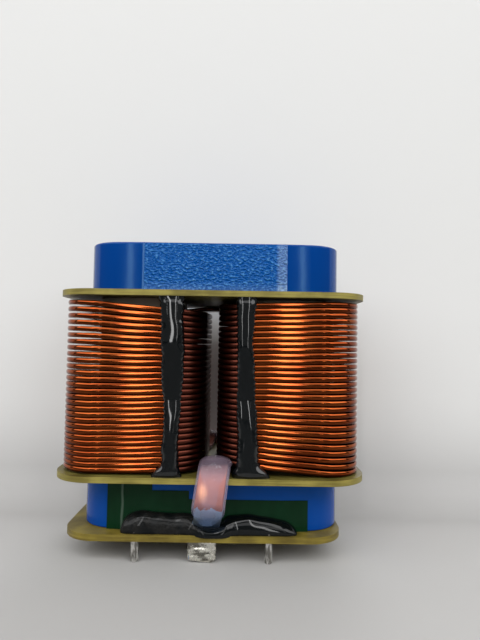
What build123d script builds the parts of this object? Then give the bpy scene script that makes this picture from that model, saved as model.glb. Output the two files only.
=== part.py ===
"""Flat wire inductor: two edgewise-wound copper coils in series on a two-leg coated core.

The part stands on its solder pins. X runs along the yokes, Y through the depth, Z up.
The origin lies at the level of the pin tips, under the middle of the core.
"""
import os

from build123d import *

os.makedirs("parts", exist_ok=True)

# ------------------------------------------------------------------ driving dimensions (mm)
# Core: two yokes joined by two legs
yoke_depth = 25.0
yoke_height = 12.7
yoke_overhang = 3.15         # yoke beyond the outer side of a leg
yoke_corner_radius = 8.5
yoke_end_length = 14.3       # stretch at each end of a long face that isn't dead flat
yoke_face_fall = 0.9         # the long face falls back by this much at its corner
yoke_edge_radius = 0.5
leg_width = 20.4
leg_inset = 0.7              # leg back from the front and rear faces of the yokes
leg_corner_radius = 7.5
leg_length = 45.1

# Insulating tube round each leg
tube_wall = 0.4
tube_clearance = 0.05        # leg to tube

# Flat copper wire and the coils wound from it on its edge
wire_width = 6.5
wire_thickness = 1.2
turn_count = 29
coil_inner_corner = 2.5      # inside of each bend, cut straight across from side to side
coil_gap = 2.7               # between the two coils
coil_clearance_x = 0.25      # tube to coil, beside the leg
coil_clearance_y = 0.55      # tube to coil, in front of and behind the leg
coil_end_clearance = 0.1     # coil to flange board, at each end

# Flange boards that close the winding window
flange_thickness = 1.4
flange_margin_x = 1.05       # board beyond the coils, at each end
flange_margin_y = 1.6        # board beyond the coils, front and back
flange_corner_radius = 9.5
flange_hole_clearance = 0.15  # tube to board
flange_lift = 0.5            # lower board above the lower yoke

# Base board with its pins
board_margin_x = 1.8         # board beyond the yoke at each end, before its shift
board_margin_y = 3.5         # board beyond the yoke, front and rear
board_thickness = 1.6
board_corner_radius = 8.0
board_shift = -1.6           # the board sits off centre, to the left
pin_radius = 1.0
pin_projection = 5.2         # pin below the board
pin_spacing = 32.0           # between the two pins of one end of the winding
pin_margin = 1.7             # middle of the pins in from the edge of the board
pin_shoulder_radius = 1.1    # where the pin passes through the board
pin_head_radius = 1.3
pin_head_height = 0.4
pin_tip_chamfer = 0.3
pin_hole_clearance = 0.05

# Leads: the wire goes on from the coil, over the lower board and down through the base board
lead_x = 0.4                 # middle of the hump in front of the coils
lead_crest_height = 3.5      # middle of the wire at its crest, above the middle of the first turn
lead_bend_radius = 1.5
lead_bend_room = 0.65        # the wire runs on by this much before it turns up or down
lead_reach = 2.3             # middle of the wire in front of the lower board
slot_clearance = 0.4         # wire to slot, all round, room for the solder

# Sleeve on the lead
sleeve_wall = 0.5
sleeve_clearance = 0.05
sleeve_end_gap = 2.2         # sleeve above the base board
sleeve_bare_share = 0.3      # part of the climb to the crest that the sleeve leaves bare

# Tinned end of the lead
solder_coat = 0.28

# Glue beads up the coils, and the glue that holds the lower yoke to the base board
bead_inset = 7.45            # middle of a bead in from the inner side of its coil
bead_width = 5.0
bead_height = 1.9            # proud of the coil
bead_roundness = 0.8         # corner radius as a share of the height
bead_foot_width = 8.0
bead_foot_height = 1.5       # proud of the coil
bead_foot_rise = 2.6         # up the coil
glue_margin = 10.8           # glue in from each end of the yoke
glue_rise = 4.8              # up the yoke
glue_edge_gap = 0.25         # glue back from the edge of the base board
lump_length = 8.0
lump_height = 3.2
lump_reach = 0.9             # lump beyond the edge of the base board
lump_drop = 1.0              # lump below the top of the base board

# Insulating tape on the long faces of the lower yoke
tape_thickness = 0.15
tape_left_margin = 7.1       # bare yoke left of the tape
tape_right_margin = 8.1      # bare yoke right of the tape
tape_left_length = 20.0      # from the left end to the seam
tape_tall_length = 11.0      # full height from the left end to here
tape_left_drop = 3.2         # top edge below the top of the yoke, from there to the seam
tape_right_drop = 5.2        # the same, right of the seam

# ------------------------------------------------------------------ sizes that follow
leg_depth = yoke_depth - 2 * leg_inset
tube_offset = tube_clearance + tube_wall
coil_inner_width = leg_width + 2 * (tube_offset + coil_clearance_x)
coil_inner_depth = leg_depth + 2 * (tube_offset + coil_clearance_y)
coil_width = coil_inner_width + 2 * wire_width
coil_depth = coil_inner_depth + 2 * wire_width
coil_outer_radius = coil_inner_corner + wire_width
coil_front = coil_depth / 2
coil_inner_side = coil_gap / 2
leg_spacing = coil_width + coil_gap
half_spacing = leg_spacing / 2

yoke_length = leg_spacing + leg_width + 2 * yoke_overhang
yoke_left_end = -yoke_length / 2
yoke_right_end = yoke_length / 2

flange_length = leg_spacing + coil_width + 2 * flange_margin_x
flange_depth = coil_depth + 2 * flange_margin_y

board_length = yoke_length + 2 * board_margin_x
board_depth = yoke_depth + 2 * board_margin_y
board_bottom = pin_projection
board_top = board_bottom + board_thickness
lower_yoke_top = board_top + yoke_height
upper_yoke_bottom = lower_yoke_top + leg_length
lower_flange_bottom = lower_yoke_top + flange_lift
window_bottom = lower_flange_bottom + flange_thickness
window_top = upper_yoke_bottom - flange_thickness
window_height = window_top - window_bottom

# One turn climbs by the pitch, a quarter of it on each straight side
coil_bottom = window_bottom + coil_end_clearance
coil_height = window_height - 2 * coil_end_clearance
turn_pitch = (coil_height - wire_thickness) / turn_count
straight_x = coil_width - 2 * coil_outer_radius
straight_y = coil_depth - 2 * coil_outer_radius
inner_strip_x = coil_inner_side + wire_width / 2
front_strip_y = coil_front - wire_width / 2

pin_y = board_depth / 2 - pin_margin
lead_slot_length = wire_width + 2 * slot_clearance
lead_slot_width = wire_thickness + 2 * slot_clearance


def save(piece, label):
    """Name a finished piece and write it under that name."""
    piece.label = label
    export_step(piece, f"parts/{label}.step")


def half_turned(piece):
    """The same piece carried to the rear: half a turn about the middle of the core."""
    return piece.rotate(Axis.Z, 180)


def carried_to_rear(piece):
    """The same piece at the rear of the base board: half a turn about the board's own middle."""
    board_axis = Axis((board_shift, 0, 0), (0, 0, 1))
    return piece.rotate(board_axis, 180)


# ------------------------------------------------------------------ core
# Plan of a yoke: a flat middle, faces that fall back a little, and well rounded ends
with BuildSketch() as yoke_plan:
    with BuildLine():
        half_length = yoke_length / 2
        half_flat = half_length - yoke_end_length
        face_y = yoke_depth / 2
        Polyline(
            (-half_flat, -face_y),
            (half_flat, -face_y),
            (half_length, -face_y + yoke_face_fall),
            (half_length, face_y - yoke_face_fall),
            (half_flat, face_y),
            (-half_flat, face_y),
            (-half_length, face_y - yoke_face_fall),
            (-half_length, -face_y + yoke_face_fall),
            close=True,
        )
    make_face()
    end_corners = yoke_plan.vertices().group_by(SortBy.DISTANCE)[-1]
    fillet(end_corners, radius=yoke_corner_radius)

with BuildSketch() as leg_plan:
    RectangleRounded(leg_width, leg_depth, leg_corner_radius)

yoke_levels = {"lower_yoke": board_top, "upper_yoke": upper_yoke_bottom}
for name, level in yoke_levels.items():
    with BuildPart() as yoke:
        with BuildSketch(Plane.XY.offset(level)):
            add(yoke_plan.sketch)
        extrude(amount=yoke_height)
        rims = yoke.faces().filter_by(Axis.Z).edges()
        fillet(rims, radius=yoke_edge_radius)
    save(yoke.part, name)

leg_sides = {"left": -half_spacing, "right": half_spacing}
for side, leg_x in leg_sides.items():
    with BuildPart() as leg:
        with BuildSketch(Plane.XY.offset(lower_yoke_top)):
            with Locations((leg_x, 0)):
                add(leg_plan.sketch)
        extrude(amount=leg_length)
    save(leg.part, f"{side}_leg")

    # The tube reaches from yoke to yoke, through both flange boards
    with BuildPart() as leg_tube:
        with BuildSketch(Plane.XY.offset(lower_yoke_top)):
            with Locations((leg_x, 0)):
                add(offset(leg_plan.sketch, amount=tube_offset, mode=Mode.PRIVATE))
                add(offset(leg_plan.sketch, amount=tube_clearance, mode=Mode.PRIVATE), mode=Mode.SUBTRACT)
        extrude(amount=leg_length)
    save(leg_tube.part, f"{side}_leg_tube")

# ------------------------------------------------------------------ boards
flange_levels = {"lower_flange_board": lower_flange_bottom, "upper_flange_board": window_top}
for name, level in flange_levels.items():
    with BuildPart() as flange_board:
        with BuildSketch(Plane.XY.offset(level)):
            RectangleRounded(flange_length, flange_depth, flange_corner_radius)
            hole_offset = tube_offset + flange_hole_clearance
            with Locations((-half_spacing, 0), (half_spacing, 0)):
                add(offset(leg_plan.sketch, amount=hole_offset, mode=Mode.PRIVATE), mode=Mode.SUBTRACT)
        extrude(amount=flange_thickness)
    save(flange_board.part, name)

with BuildPart() as base_board:
    with BuildSketch(Plane.XY.offset(board_bottom)):
        with Locations((board_shift, 0)):
            RectangleRounded(board_length, board_depth, board_corner_radius)
        with Locations((board_shift, 0)):
            with GridLocations(pin_spacing, 2 * pin_y, 2, 2):
                Circle(pin_shoulder_radius + pin_hole_clearance, mode=Mode.SUBTRACT)
            with GridLocations(1, 2 * pin_y, 1, 2):
                Rectangle(lead_slot_length, lead_slot_width, mode=Mode.SUBTRACT)
    extrude(amount=board_thickness)
save(base_board.part, "base_board")

# ------------------------------------------------------------------ coils
# Levels and places are those of the right coil; the left coil is the same, half turned.
# A turn runs up the inner side, along the rear, down the outer side and back along the front.


def strip_along_y(x, start_y, end_y, level, climb):
    """A straight length of wire parallel to Y, lying flat and climbing evenly."""
    with BuildPart() as strip:
        with BuildSketch(Plane.YZ.offset(x - wire_width / 2)):
            with BuildLine():
                Polyline(
                    (start_y, level),
                    (end_y, level + climb),
                    (end_y, level + climb + wire_thickness),
                    (start_y, level + wire_thickness),
                    close=True,
                )
            make_face()
        extrude(amount=wire_width)
    return strip.part


def strip_along_x(y, start_x, end_x, level, climb):
    """A straight length of wire parallel to X, lying flat and climbing evenly."""
    with BuildPart() as strip:
        with BuildSketch(Plane.XZ.offset(-y - wire_width / 2)):
            with BuildLine():
                Polyline(
                    (start_x, level),
                    (end_x, level + climb),
                    (end_x, level + climb + wire_thickness),
                    (start_x, level + wire_thickness),
                    close=True,
                )
            make_face()
        extrude(amount=wire_width)
    return strip.part


def strip_bend(center_x, center_y, first_angle, level):
    """A quarter bend of wire on its edge, level, about a point in plan."""
    with BuildPart() as bend:
        with BuildSketch(Plane.XY.offset(level)):
            with Locations((center_x, center_y)):
                Circle(coil_outer_radius)
                with Locations(Location((0, 0), first_angle)):
                    Rectangle(
                        coil_outer_radius,
                        coil_outer_radius,
                        align=(Align.MIN, Align.MIN),
                        mode=Mode.INTERSECT,
                    )
                    Polygon(
                        (0, 0),
                        (coil_inner_corner, 0),
                        (0, coil_inner_corner),
                        align=None,
                        mode=Mode.SUBTRACT,
                    )
        extrude(amount=wire_thickness)
    return bend.part


inner_bend_x = half_spacing - straight_x / 2
outer_bend_x = half_spacing + straight_x / 2
rear_bend_y = straight_y / 2
front_bend_y = -straight_y / 2
inner_side_x = inner_strip_x
outer_side_x = leg_spacing - inner_strip_x
quarter_climb = turn_pitch / 4

with BuildPart() as open_turn:
    level = coil_bottom
    add(strip_along_y(inner_side_x, front_bend_y, rear_bend_y, level, quarter_climb))
    level += quarter_climb
    add(strip_bend(inner_bend_x, rear_bend_y, 90, level))
    add(strip_along_x(front_strip_y, inner_bend_x, outer_bend_x, level, quarter_climb))
    level += quarter_climb
    add(strip_bend(outer_bend_x, rear_bend_y, 0, level))
    add(strip_along_y(outer_side_x, rear_bend_y, front_bend_y, level, quarter_climb))
    level += quarter_climb
    add(strip_bend(outer_bend_x, front_bend_y, 270, level))
    add(strip_along_x(-front_strip_y, outer_bend_x, inner_bend_x, level, quarter_climb))

# The last bend of a turn, which lifts it to the start of the next
next_turn_bend = strip_bend(inner_bend_x, front_bend_y, 180, coil_bottom + turn_pitch)

with BuildPart() as turns:
    with Locations(*[(0, 0, index * turn_pitch) for index in range(turn_count)]):
        add(open_turn.part)
    with Locations(*[(0, 0, index * turn_pitch) for index in range(turn_count - 1)]):
        add(next_turn_bend)

# Lead line in side view: level under the first turn, up over a hump in front of the
# lower flange board, then down and back to the slot in the base board
wire_half = wire_thickness / 2
lead_level = coil_bottom + wire_half
lead_notch_y = coil_front - wire_width / 3
flange_front = flange_depth / 2
crest_level = lead_level + lead_crest_height
foot_level = board_top + sleeve_end_gap
lead_out_y = flange_front + lead_reach
hump_start = (-lead_notch_y - lead_bend_room, lead_level)
hump_back = (-flange_front + lead_bend_room, crest_level)
hump_front = (-lead_out_y - lead_bend_room, crest_level - wire_half)
lead_fall = (-lead_out_y, lower_flange_bottom - wire_thickness)
lead_heel = (-pin_y, foot_level + wire_thickness + wire_half)
lead_foot = (-pin_y, foot_level)
sleeve_start = (
    hump_start[0] + sleeve_bare_share * (hump_back[0] - hump_start[0]),
    hump_start[1] + sleeve_bare_share * (hump_back[1] - hump_start[1]),
)
solder_tip = solder_coat


def lead_to(tab_x):
    """The wire from the end of the first turn's inner side down to its tab, at the front."""
    half_width = wire_width / 2
    with BuildPart() as lead:
        # Flat stretch that swings from the inner side of the coil to the middle of the gap
        with BuildSketch(Plane.XY.offset(coil_bottom)):
            with BuildLine():
                Polyline(
                    (inner_strip_x - half_width, front_bend_y),
                    (inner_strip_x + half_width, front_bend_y),
                    (lead_x + half_width, -lead_notch_y),
                    (lead_x - half_width, -lead_notch_y),
                    close=True,
                )
            make_face()
        extrude(amount=wire_thickness)
        # Hump and fall
        with BuildSketch(Plane.YZ.offset(lead_x - half_width)):
            with BuildLine():
                FilletPolyline(
                    (-lead_notch_y, lead_level),
                    hump_start,
                    hump_back,
                    hump_front,
                    lead_fall,
                    lead_heel,
                    lead_foot,
                    radius=[wire_half, lead_bend_radius, lead_bend_radius, lead_bend_radius, lead_bend_radius],
                )
            trace(line_width=wire_thickness)
        extrude(amount=wire_width)
        # Jog to the slot, then straight down through the board
        with BuildSketch(Plane.XZ.offset(pin_y - wire_half)):
            with BuildLine():
                Polyline(
                    (lead_x - half_width, foot_level),
                    (lead_x + half_width, foot_level),
                    (tab_x + half_width, board_top),
                    (tab_x + half_width, solder_tip),
                    (tab_x - half_width, solder_tip),
                    (tab_x - half_width, board_top),
                    close=True,
                )
            make_face()
        extrude(amount=wire_thickness)
    return lead.part


# The wire of the right coil ends in the crossover, a reversed bend at the top of the rear
top_level = coil_bottom + turn_count * turn_pitch
crossover_x = inner_strip_x - coil_inner_corner - wire_width / 2
with BuildPart() as right_coil:
    add(turns.part)
    add(strip_bend(inner_bend_x, front_bend_y, 180, top_level))
    add(strip_along_y(inner_side_x, front_bend_y, rear_bend_y, top_level, 0))
    add(strip_bend(crossover_x, rear_bend_y, 0, top_level))
    add(lead_to(board_shift))
save(right_coil.part, "right_coil")

# The wire of the left coil runs straight on along the rear to meet it
with BuildPart() as left_coil:
    add(half_turned(turns.part))
    add(strip_along_x(front_strip_y, -inner_bend_x, crossover_x, top_level, 0))
    add(half_turned(lead_to(-board_shift)))
save(left_coil.part, "left_coil")

# ------------------------------------------------------------------ sleeves on the leads
with BuildPart() as front_sleeve:
    sleeve_grip = sleeve_clearance + sleeve_wall
    with BuildSketch(Plane.YZ.offset(lead_x - wire_width / 2 - sleeve_grip)):
        with BuildLine() as sleeve_line:
            FilletPolyline(
                sleeve_start,
                hump_back,
                hump_front,
                lead_fall,
                lead_heel,
                lead_foot,
                radius=lead_bend_radius,
            )
        trace(line_width=wire_thickness + 2 * sleeve_grip)
    extrude(amount=wire_width + 2 * sleeve_grip)
    with BuildSketch(Plane.YZ.offset(lead_x - wire_width / 2 - sleeve_clearance)):
        trace(sleeve_line.line, line_width=wire_thickness + 2 * sleeve_clearance)
    extrude(amount=wire_width + 2 * sleeve_clearance, mode=Mode.SUBTRACT)
rear_sleeve_part = half_turned(front_sleeve.part)
save(front_sleeve.part, "front_lead_sleeve")
save(rear_sleeve_part, "rear_lead_sleeve")

# ------------------------------------------------------------------ solder and pins
ends = {"front": -1, "rear": 1}
for end, direction in ends.items():
    with BuildPart() as tab_solder:
        with BuildSketch():
            with Locations((board_shift, direction * pin_y)):
                RectangleRounded(
                    wire_width + 2 * solder_coat,
                    wire_thickness + 2 * solder_coat,
                    2 * solder_coat,
                )
        extrude(amount=board_bottom)
        with BuildSketch(Plane.XY.offset(solder_tip)):
            with Locations((board_shift, direction * pin_y)):
                Rectangle(wire_width, wire_thickness)
        extrude(amount=board_bottom - solder_tip, mode=Mode.SUBTRACT)
    save(tab_solder.part, f"{end}_tab_solder")

# A pin: chamfered at its tip, thicker through the board and headed on top of it
with BuildPart() as pin:
    with BuildSketch(Plane.XZ):
        with BuildLine():
            Polyline(
                (0, 0),
                (pin_radius - pin_tip_chamfer, 0),
                (pin_radius, pin_tip_chamfer),
                (pin_radius, board_bottom),
                (pin_shoulder_radius, board_bottom),
                (pin_shoulder_radius, board_top),
                (pin_head_radius, board_top),
                (pin_head_radius, board_top + pin_head_height),
                (0, board_top + pin_head_height),
                close=True,
            )
        make_face()
    revolve(axis=Axis.Z)

pins = {"front": [], "rear": []}
sides = {"left": -1, "right": 1}
for end, direction in ends.items():
    for side, hand in sides.items():
        pin_x = board_shift + hand * pin_spacing / 2
        placed_pin = pin.part.moved(Location((pin_x, direction * pin_y, 0)))
        pins[end].append(placed_pin)
        save(placed_pin, f"{end}_{side}_pin")

# ------------------------------------------------------------------ glue
# Beads up the coils, from board to board, with a spread foot
crossover_room = 2 * wire_thickness
bead_tops = {"front": window_top, "rear": window_top - crossover_room}
for end, direction in ends.items():
    for side, hand in sides.items():
        bead_x = hand * (coil_inner_side + bead_inset)
        foot_x = bead_x + hand * (bead_foot_width - bead_width) / 3
        with BuildPart() as bead:
            with BuildSketch(Plane.XY.offset(window_bottom)):
                with Locations((bead_x, direction * coil_front)):
                    RectangleRounded(bead_width, 2 * bead_height, bead_roundness * bead_height)
                with Locations((hand * half_spacing, 0)):
                    RectangleRounded(coil_width, coil_depth, coil_outer_radius, mode=Mode.SUBTRACT)
            extrude(amount=bead_tops[end] - window_bottom)
            with BuildSketch(Plane.XY.offset(window_bottom)):
                with Locations((foot_x, direction * coil_front)):
                    foot_radius = bead_roundness * bead_foot_height
                    RectangleRounded(bead_foot_width, 2 * bead_foot_height, foot_radius)
                with Locations((hand * half_spacing, 0)):
                    RectangleRounded(coil_width, coil_depth, coil_outer_radius, mode=Mode.SUBTRACT)
            extrude(amount=bead_foot_rise)
        save(bead.part, f"{end}_{side}_glue_bead")


def base_glue(obstacles):
    """Bar of glue in the corner of yoke and base board at the front, with a lump in the middle."""
    board_front = board_depth / 2
    glue_front = board_front - glue_edge_gap
    glue_length = yoke_length - 2 * glue_margin
    with BuildPart() as glue:
        with BuildSketch(Plane.YZ.offset(-glue_length / 2)):
            with BuildLine():
                Polyline(
                    (-yoke_depth / 2 + yoke_face_fall, board_top),
                    (-glue_front, board_top),
                    (-glue_front, board_top + glue_rise / 4),
                    (-glue_front + glue_edge_gap, board_top + glue_rise / 2),
                    (-yoke_depth / 2 - glue_edge_gap, board_top + glue_rise),
                    (-yoke_depth / 2 + yoke_face_fall, board_top + glue_rise),
                    close=True,
                )
            make_face()
        extrude(amount=glue_length)
        with BuildSketch(Plane.YZ.offset(board_shift - lump_length / 2)):
            with BuildLine():
                Polyline(
                    (-glue_front + glue_edge_gap, board_top),
                    (-board_front, board_top),
                    (-board_front, board_top - lump_drop),
                    (-board_front - lump_reach / 2, board_top - lump_drop),
                    (-board_front - lump_reach, board_top),
                    (-board_front - lump_reach / 2, board_top + lump_height / 2),
                    (-glue_front + glue_edge_gap, board_top + lump_height),
                    close=True,
                )
            make_face()
        extrude(amount=lump_length)
        with BuildSketch(Plane.XY.offset(board_top)):
            add(offset(yoke_plan.sketch, amount=tape_thickness, mode=Mode.PRIVATE))
        extrude(amount=yoke_height, mode=Mode.SUBTRACT)
        for obstacle in obstacles:
            add(obstacle, mode=Mode.SUBTRACT)
    return glue.part


front_obstacles = pins["front"] + [front_sleeve.part, lead_to(board_shift)]
save(base_glue(front_obstacles), "front_base_glue")
rear_obstacles = [half_turned(rear_pin) for rear_pin in pins["rear"]]
rear_obstacles += [front_sleeve.part, lead_to(-board_shift)]
save(half_turned(base_glue(rear_obstacles)), "rear_base_glue")

# ------------------------------------------------------------------ tape on the lower yoke


def tape_strip(runs):
    """Tape on the front face of the lower yoke; a run is its left end, right end and top edge."""
    with BuildPart() as tape:
        for left, right, top in runs:
            with BuildSketch(Plane.XY.offset(board_top)):
                add(offset(yoke_plan.sketch, amount=tape_thickness, mode=Mode.PRIVATE))
                add(yoke_plan.sketch, mode=Mode.SUBTRACT)
                with Locations(((left + right) / 2, 0)):
                    Rectangle(right - left, yoke_depth, align=(Align.CENTER, Align.MAX), mode=Mode.INTERSECT)
            extrude(amount=top - board_top)
    return tape.part


tape_left_end = yoke_left_end + tape_left_margin
tape_right_end = yoke_right_end - tape_right_margin
tape_step = tape_left_end + tape_tall_length
tape_seam = tape_left_end + tape_left_length
left_runs = [
    (tape_left_end, tape_step, lower_yoke_top - yoke_edge_radius),
    (tape_step, tape_seam, lower_yoke_top - tape_left_drop),
]
right_runs = [(tape_seam, tape_right_end, lower_yoke_top - tape_right_drop)]
tape_pieces = {"left": tape_strip(left_runs), "right": tape_strip(right_runs)}
for side, piece in tape_pieces.items():
    rear_piece = half_turned(piece)
    save(piece, f"front_{side}_tape")
    opposite = "right" if side == "left" else "left"
    save(rear_piece, f"rear_{opposite}_tape")
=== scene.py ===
"""The looks of the flat wire inductor, built around its CAD solids."""
import math

import bpy
import numpy as np
from mathutils import Matrix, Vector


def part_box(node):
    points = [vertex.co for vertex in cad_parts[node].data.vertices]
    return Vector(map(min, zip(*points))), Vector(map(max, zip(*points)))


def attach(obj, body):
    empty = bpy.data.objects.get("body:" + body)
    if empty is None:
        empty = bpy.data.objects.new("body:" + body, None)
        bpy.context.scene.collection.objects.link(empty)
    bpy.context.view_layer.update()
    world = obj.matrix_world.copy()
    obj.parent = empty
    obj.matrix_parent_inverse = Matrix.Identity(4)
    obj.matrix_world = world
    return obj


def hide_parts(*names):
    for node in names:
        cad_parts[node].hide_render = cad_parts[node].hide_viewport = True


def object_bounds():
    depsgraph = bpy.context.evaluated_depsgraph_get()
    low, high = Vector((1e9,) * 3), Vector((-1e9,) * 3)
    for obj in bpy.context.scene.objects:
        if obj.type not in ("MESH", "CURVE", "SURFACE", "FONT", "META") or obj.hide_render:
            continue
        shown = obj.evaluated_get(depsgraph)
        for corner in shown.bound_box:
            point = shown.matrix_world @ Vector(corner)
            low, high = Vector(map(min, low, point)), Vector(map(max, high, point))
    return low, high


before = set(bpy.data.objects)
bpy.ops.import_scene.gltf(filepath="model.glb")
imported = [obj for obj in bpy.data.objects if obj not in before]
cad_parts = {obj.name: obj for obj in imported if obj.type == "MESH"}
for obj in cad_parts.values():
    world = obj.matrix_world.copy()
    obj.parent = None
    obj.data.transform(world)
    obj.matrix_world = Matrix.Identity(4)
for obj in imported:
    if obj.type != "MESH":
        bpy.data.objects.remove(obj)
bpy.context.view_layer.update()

# ------------------------------------------------------------------ core
# Two yokes and two legs of pressed powder, dipped in blue coating and glued end to end. The
# coating is smooth, but for an orange peel on the flat middle of the upper yoke's long faces,
# where it has run at the foot. Its crests are painted paler as painted highlight, with a pale
# painted sparkle near the foot and most near one end. The lower yoke is painted a darker blue,
# as painted shade.
mm = 0.001


class Shade:
    """A value or colour inside a finish. Sums written on it become Math nodes."""

    def __init__(self, tree, socket=None):
        self.tree = tree
        self.socket = socket

    def node(self, kind, settings, sockets, result=0):
        """Adds a node of that kind: its settings first, then the value or link of each socket."""
        made = self.tree.nodes.new(kind)
        for name, setting in settings.items():
            setattr(made, name, setting)
        for name, value in sockets.items():
            if isinstance(value, Shade):
                self.tree.links.new(value.socket, made.inputs[name])
            else:
                made.inputs[name].default_value = value
        return Shade(self.tree, made.outputs[result] if made.outputs else None)

    def beside(self, result):
        """Another output of the same node."""
        return Shade(self.tree, self.socket.node.outputs[result])

    def math(self, operation, first, second=0.0):
        """A Math node on one or two values."""
        return self.node("ShaderNodeMath", {"operation": operation}, {0: first, 1: second})

    def __add__(self, other):
        return self.math("ADD", self, other)

    __radd__ = __add__

    def __sub__(self, other):
        return self.math("SUBTRACT", self, other)

    def __rsub__(self, other):
        return self.math("SUBTRACT", other, self)

    def __mul__(self, other):
        return self.math("MULTIPLY", self, other)

    __rmul__ = __mul__

    def __abs__(self):
        return self.math("ABSOLUTE", self)

    def below(self, edge):
        """One where this is less than the edge, and nought elsewhere."""
        return self.math("LESS_THAN", self, edge)

    def eased(self, low, high):
        """Nought at low and one at high, with a soft rise between them."""
        rise = {"Value": self, "From Min": low, "From Max": high}
        return self.node("ShaderNodeMapRange", {"interpolation_type": "SMOOTHSTEP"}, rise)

    def blend(self, first, second):
        """The first colour where this is nought and the second where it is one."""
        colours = {0: self, 6: first, 7: second}
        return self.node("ShaderNodeMix", {"data_type": "RGBA"}, colours, 2)

    def place(self):
        """The point of the surface, in metres in the part's own frame."""
        return self.node("ShaderNodeTexCoord", {}, {}, "Object")

    def marks(self):
        """The shares of the way round and along a skin, from its UV map."""
        return self.node("ShaderNodeTexCoord", {}, {}, "UV")

    def parts(self):
        """The three numbers of a place."""
        first = self.node("ShaderNodeSeparateXYZ", {}, {0: self})
        return first, first.beside("Y"), first.beside("Z")

    def stretched(self, x, y, z):
        """A place with its axes scaled, for a grain that runs longer one way."""
        factors = {0: self, 1: (x, y, z)}
        return self.node("ShaderNodeVectorMath", {"operation": "MULTIPLY"}, factors)

    def grain(self, size, detail=2.0, roughness=0.5):
        """Smooth noise about one half, with lumps of that size."""
        wanted = {"Vector": self, "Scale": 1 / size, "Detail": detail, "Roughness": roughness}
        return self.node("ShaderNodeTexNoise", {}, wanted)

    def folded(self, top):
        """This, counted up to the top and back down to nought again."""
        return self.math("PINGPONG", self, top)

    def distance(self, point):
        """How far this place is from a point."""
        ends = {0: self, 1: point}
        return self.node("ShaderNodeVectorMath", {"operation": "DISTANCE"}, ends, "Value")

    def bump(self, height, strength=1.0):
        """The normal of a surface raised by this height where this is one."""
        wanted = {"Height": self, "Distance": height, "Strength": strength}
        return self.node("ShaderNodeBump", {}, wanted, "Normal")


def new_finish(name):
    """An empty material, and the Shade its nodes are added through."""
    material = bpy.data.materials.new(name)
    material.use_nodes = True
    material.node_tree.nodes.clear()
    return material, Shade(material.node_tree)


def coat_surface(shade, **sockets):
    """Closes a finish with one surface shader. Its sockets are named with _ for each space."""
    named = {name.replace("_", " "): value for name, value in sockets.items()}
    surface = shade.node("ShaderNodeBsdfPrincipled", {}, named)
    shade.node("ShaderNodeOutputMaterial", {}, {"Surface": surface})


def dress(node, material):
    """Gives a CAD node its finish."""
    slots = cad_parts[node].data.materials
    slots.clear()
    slots.append(material)


yoke_low, yoke_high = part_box("upper_yoke")
smooth_end = 14.3 * mm
flat_half = yoke_high.x - smooth_end
flat_shift = 0.5 * mm
face_depth = 0.1 * mm
foot_height = 3.5 * mm
# the painted sparkle on the peel's crests grows between these two places
sparkle_start = 15.4 * mm
sparkle_full = 16.4 * mm
peel_size = 0.62 * mm
peel_height = 0.68 * mm
upper_blue = (0.0003, 0.050, 0.29, 1)
# the lower yoke's blue is the upper one's painted darker, as painted shade
shaded_lower_blue = (0.0003, 0.041, 0.225, 1)
trough_blue = (0.0006, 0.066, 0.30, 1)
# painted highlight: the peel's crests are painted a paler blue
crest_highlight_blue = (0.07, 0.26, 0.60, 1)
sparkle_blue = (0.30, 0.42, 0.62, 1)

core_coating, shade = new_finish("core_coating")
place = shade.place()
place_x, place_y, place_z = place.parts()
on_middle = abs(place_x - flat_shift).below(flat_half)
on_face = 1 - abs(place_y).below(yoke_high.y - face_depth)
on_upper = 1 - place_z.below(yoke_low.z)
textured = on_middle * on_face * on_upper
foot = 1 - place_z.eased(yoke_low.z, yoke_low.z + foot_height)
peel = place.stretched(0.8, 1, 1.2).grain(peel_size, 1.5, 0.45)
runs = place.stretched(1.6, 1, 0.5).grain(peel_size, 1.5, 0.45)
drift = place.grain(9 * mm, 1.0)
height = textured * (peel + foot * (runs - peel) - 0.5) + 0.02 * drift
# painted highlight: pale sparkle on the peel's crests, near the foot and most near one end
sparkle_band = place_x.eased(sparkle_start, sparkle_full) * (0.45 + 0.55 * foot)
painted_sparkle = 0.6 * textured * ((1.15 * sparkle_band + 0.25 * foot) * (0.2 + 1.6 * peel))
crests = peel.eased(0.50, 0.80)
blue = textured.blend(on_upper.blend(upper_blue, shaded_lower_blue), crests.blend(trough_blue, crest_highlight_blue))
coat_surface(
    shade,
    Base_Color=painted_sparkle.blend(blue, sparkle_blue),
    Roughness=0.06 + 0.08 * textured,
    Specular_IOR_Level=0.3,
    Specular_Tint=(0.40, 0.80, 1.0, 1),
    Normal=height.bump(peel_height),
)
for node in ("upper_yoke", "lower_yoke", "left_leg", "right_leg"):
    dress(node, core_coating)

# ------------------------------------------------------------------ leg tubes
# A pale tube of insulating paper round each leg, pushed on before the coils to keep the wire off
# the core. It shows only above the ends of the coils.
tube_dark = (0.36, 0.30, 0.22, 1)
tube_pale = (0.48, 0.41, 0.31, 1)

tube_paper, shade = new_finish("tube_paper")
mottle = shade.place().grain(2.5 * mm)
coat_surface(
    shade,
    Base_Color=mottle.blend(tube_dark, tube_pale),
    Roughness=0.6,
)
for node in ("left_leg_tube", "right_leg_tube"):
    dress(node, tube_paper)

# ------------------------------------------------------------------ flange boards
# Glass-epoxy boards that close the winding window at both ends, routed to shape. The layers of
# glass show on their cut edges. Their flat faces are painted darker, as painted shade.
black = (0, 0, 0, 1)


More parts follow.
